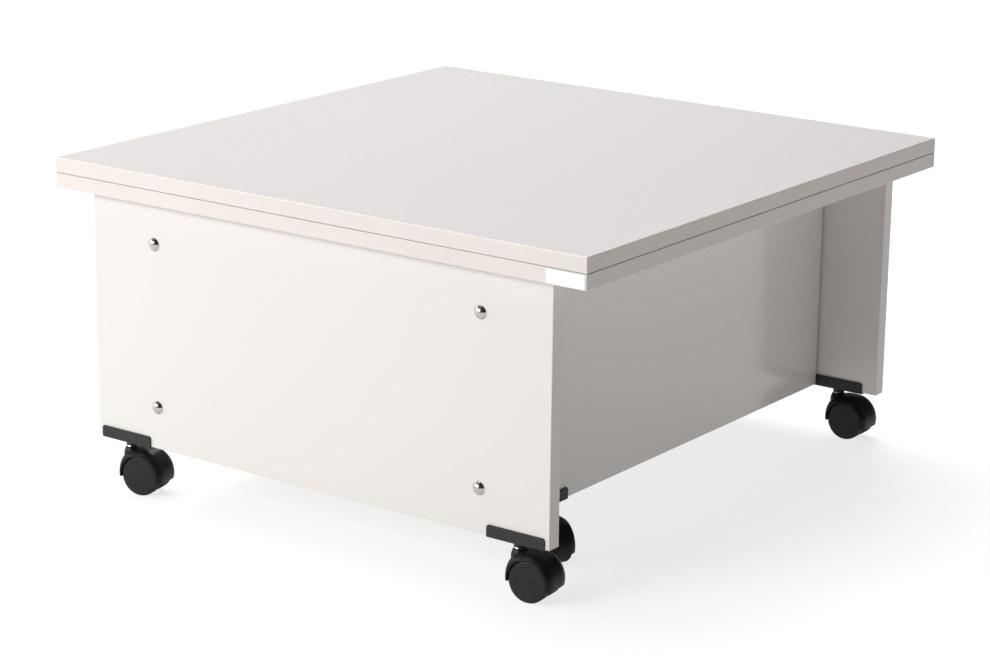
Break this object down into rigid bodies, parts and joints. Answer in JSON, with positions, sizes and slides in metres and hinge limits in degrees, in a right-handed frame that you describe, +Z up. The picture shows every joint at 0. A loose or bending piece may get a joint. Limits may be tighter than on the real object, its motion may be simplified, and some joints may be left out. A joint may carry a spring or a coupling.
{
  "type": "fold-over sewing table on casters",
  "caption": "Low square work table with a fold-over top that swivels and opens to double length, on a boarded base with bolted end panels and swivelling twin-wheel casters.",
  "frame": {"origin": "floor level under the middle of the folded top", "axes": "+Z up; the front end panel with the blank plate above it faces -Y; the leaves hinge along the -X edge of the top"},
  "size_m": [0.7729, 0.7706, 0.404],
  "materials": {
    "white_board": "satin white melamine",
    "white_edging": "satin",
    "blank_plate": "satin",
    "black_steel": "satin powder coat",
    "black_plastic": "fine texture",
    "black_tread": "matt",
    "chrome": "polished",
    "zinc_steel": "zinc plated",
    "beech": "plain",
    "white_plastic": "moulded",
    "felt": "felt",
    "soft_rubber": "matt"
  },
  "bodies": {
    "base": {"front_end_panel": "white_board", "front_end_edging": "white_edging", "rear_end_panel": "white_board", "rear_end_edging": "white_edging", "left_side_panel": "white_board", "right_side_panel": "white_board", "side_panel_edging": "white_edging", "pivot_rail": "white_board", "brace_rail": "white_board", "rail_blocks": "white_plastic", "block_screws": "zinc_steel", "dome_bolts": "chrome", "barrel_nuts": "zinc_steel", "dowels": "beech", "glide_pads": "felt", "caster_brackets": "black_steel", "bracket_screws": "zinc_steel", "caster_stems": "chrome"},
    "lower_top": {"lower_leaf": "white_board", "lower_leaf_edging": "white_edging", "name_plate": "blank_plate", "leaf_buffers": "soft_rubber", "pivot_plate": "zinc_steel", "plate_screws": "zinc_steel", "pivot_bolt": "zinc_steel", "pivot_washer": "zinc_steel", "pivot_nut": "zinc_steel", "stop_peg": "zinc_steel", "lower_hinge_plates": "zinc_steel", "hinge_pins": "zinc_steel", "lower_hinge_screws": "zinc_steel"},
    "upper_top": {"upper_leaf": "white_board", "upper_leaf_edging": "white_edging", "upper_hinge_plates": "zinc_steel", "upper_hinge_screws": "zinc_steel"},
    "front_left_caster": {"front_left_caster_hood": "black_plastic", "front_left_caster_axle": "zinc_steel"},
    "front_left_left_wheel": {"front_left_caster_left_wheel": "black_tread"},
    "front_left_right_wheel": {"front_left_caster_right_wheel": "black_tread"},
    "front_right_caster": {"front_right_caster_hood": "black_plastic", "front_right_caster_axle": "zinc_steel"},
    "front_right_left_wheel": {"front_right_caster_left_wheel": "black_tread"},
    "front_right_right_wheel": {"front_right_caster_right_wheel": "black_tread"},
    "rear_left_caster": {"rear_left_caster_hood": "black_plastic", "rear_left_caster_axle": "zinc_steel"},
    "rear_left_left_wheel": {"rear_left_caster_left_wheel": "black_tread"},
    "rear_left_right_wheel": {"rear_left_caster_right_wheel": "black_tread"},
    "rear_right_caster": {"rear_right_caster_hood": "black_plastic", "rear_right_caster_axle": "zinc_steel"},
    "rear_right_left_wheel": {"rear_right_caster_left_wheel": "black_tread"},
    "rear_right_right_wheel": {"rear_right_caster_right_wheel": "black_tread"},
    "side_left_caster": {"side_left_caster_hood": "black_plastic", "side_left_caster_axle": "zinc_steel"},
    "side_left_left_wheel": {"side_left_caster_left_wheel": "black_tread"},
    "side_left_right_wheel": {"side_left_caster_right_wheel": "black_tread"},
    "side_right_caster": {"side_right_caster_hood": "black_plastic", "side_right_caster_axle": "zinc_steel"},
    "side_right_left_wheel": {"side_right_caster_left_wheel": "black_tread"},
    "side_right_right_wheel": {"side_right_caster_right_wheel": "black_tread"}
  },
  "joints": [
    {"name": "top_swivel", "type": "hinge", "parent": "base", "child": "lower_top", "pos_m": [-0.1925, 0.1925, 0.367], "axis": [0, 0, 1], "range_deg": [0, 90]},
    {"name": "leaf_fold", "type": "hinge", "parent": "lower_top", "child": "upper_top", "pos_m": [-0.3854, 0, 0.3856], "axis": [0, -1, 0], "range_deg": [0, 180]},
    {"name": "front_left_swivel", "type": "hinge", "parent": "base", "child": "front_left_caster", "pos_m": [-0.29, -0.364, 0.055], "axis": [0, 0, 1], "continuous": true},
    {"name": "front_left_left_wheel_roll", "type": "hinge", "parent": "front_left_caster", "child": "front_left_left_wheel", "pos_m": [-0.26794, -0.37158, 0.0245], "axis": [-0.2079, 0.9781, 0], "continuous": true},
    {"name": "front_left_right_wheel_roll", "type": "hinge", "parent": "front_left_caster", "child": "front_left_right_wheel", "pos_m": [-0.27293, -0.3481, 0.0245], "axis": [-0.2079, 0.9781, 0], "continuous": true},
    {"name": "front_right_swivel", "type": "hinge", "parent": "base", "child": "front_right_caster", "pos_m": [0.29, -0.364, 0.055], "axis": [0, 0, 1], "continuous": true},
    {"name": "front_right_left_wheel_roll", "type": "hinge", "parent": "front_right_caster", "child": "front_right_left_wheel", "pos_m": [0.31097, -0.37421, 0.0245], "axis": [-0.0872, 0.9962, 0], "continuous": true},
    {"name": "front_right_right_wheel_roll", "type": "hinge", "parent": "front_right_caster", "child": "front_right_right_wheel", "pos_m": [0.30888, -0.3503, 0.0245], "axis": [-0.0872, 0.9962, 0], "continuous": true},
    {"name": "rear_left_swivel", "type": "hinge", "parent": "base", "child": "rear_left_caster", "pos_m": [-0.276, 0.364, 0.055], "axis": [0, 0, 1], "continuous": true},
    {"name": "rear_left_left_wheel_roll", "type": "hinge", "parent": "rear_left_caster", "child": "rear_left_left_wheel", "pos_m": [-0.25893, 0.3481, 0.0245], "axis": [0.2079, 0.9781, 0], "continuous": true},
    {"name": "rear_left_right_wheel_roll", "type": "hinge", "parent": "rear_left_caster", "child": "rear_left_right_wheel", "pos_m": [-0.25394, 0.37158, 0.0245], "axis": [0.2079, 0.9781, 0], "continuous": true},
    {"name": "rear_right_swivel", "type": "hinge", "parent": "base", "child": "rear_right_caster", "pos_m": [0.276, 0.364, 0.055], "axis": [0, 0, 1], "continuous": true},
    {"name": "rear_right_left_wheel_roll", "type": "hinge", "parent": "rear_right_caster", "child": "rear_right_left_wheel", "pos_m": [0.296, 0.352, 0.0245], "axis": [0, 1, 0], "continuous": true},
    {"name": "rear_right_right_wheel_roll", "type": "hinge", "parent": "rear_right_caster", "child": "rear_right_right_wheel", "pos_m": [0.296, 0.376, 0.0245], "axis": [0, 1, 0], "continuous": true},
    {"name": "side_left_swivel", "type": "hinge", "parent": "base", "child": "side_left_caster", "pos_m": [-0.239, 0.254, 0.055], "axis": [0, 0, 1], "continuous": true},
    {"name": "side_left_left_wheel_roll", "type": "hinge", "parent": "side_left_caster", "child": "side_left_left_wheel", "pos_m": [-0.21573, 0.25564, 0.0245], "axis": [-0.5736, 0.8192, 0], "continuous": true},
    {"name": "side_left_right_wheel_roll", "type": "hinge", "parent": "side_left_caster", "child": "side_left_right_wheel", "pos_m": [-0.2295, 0.2753, 0.0245], "axis": [-0.5736, 0.8192, 0], "continuous": true},
    {"name": "side_right_swivel", "type": "hinge", "parent": "base", "child": "side_right_caster", "pos_m": [0.239, -0.254, 0.055], "axis": [0, 0, 1], "continuous": true},
    {"name": "side_right_left_wheel_roll", "type": "hinge", "parent": "side_right_caster", "child": "side_right_left_wheel", "pos_m": [0.25205, -0.27333, 0.0245], "axis": [0.4226, 0.9063, 0], "continuous": true},
    {"name": "side_right_right_wheel_roll", "type": "hinge", "parent": "side_right_caster", "child": "side_right_right_wheel", "pos_m": [0.2622, -0.25158, 0.0245], "axis": [0.4226, 0.9063, 0], "continuous": true}
  ]
}
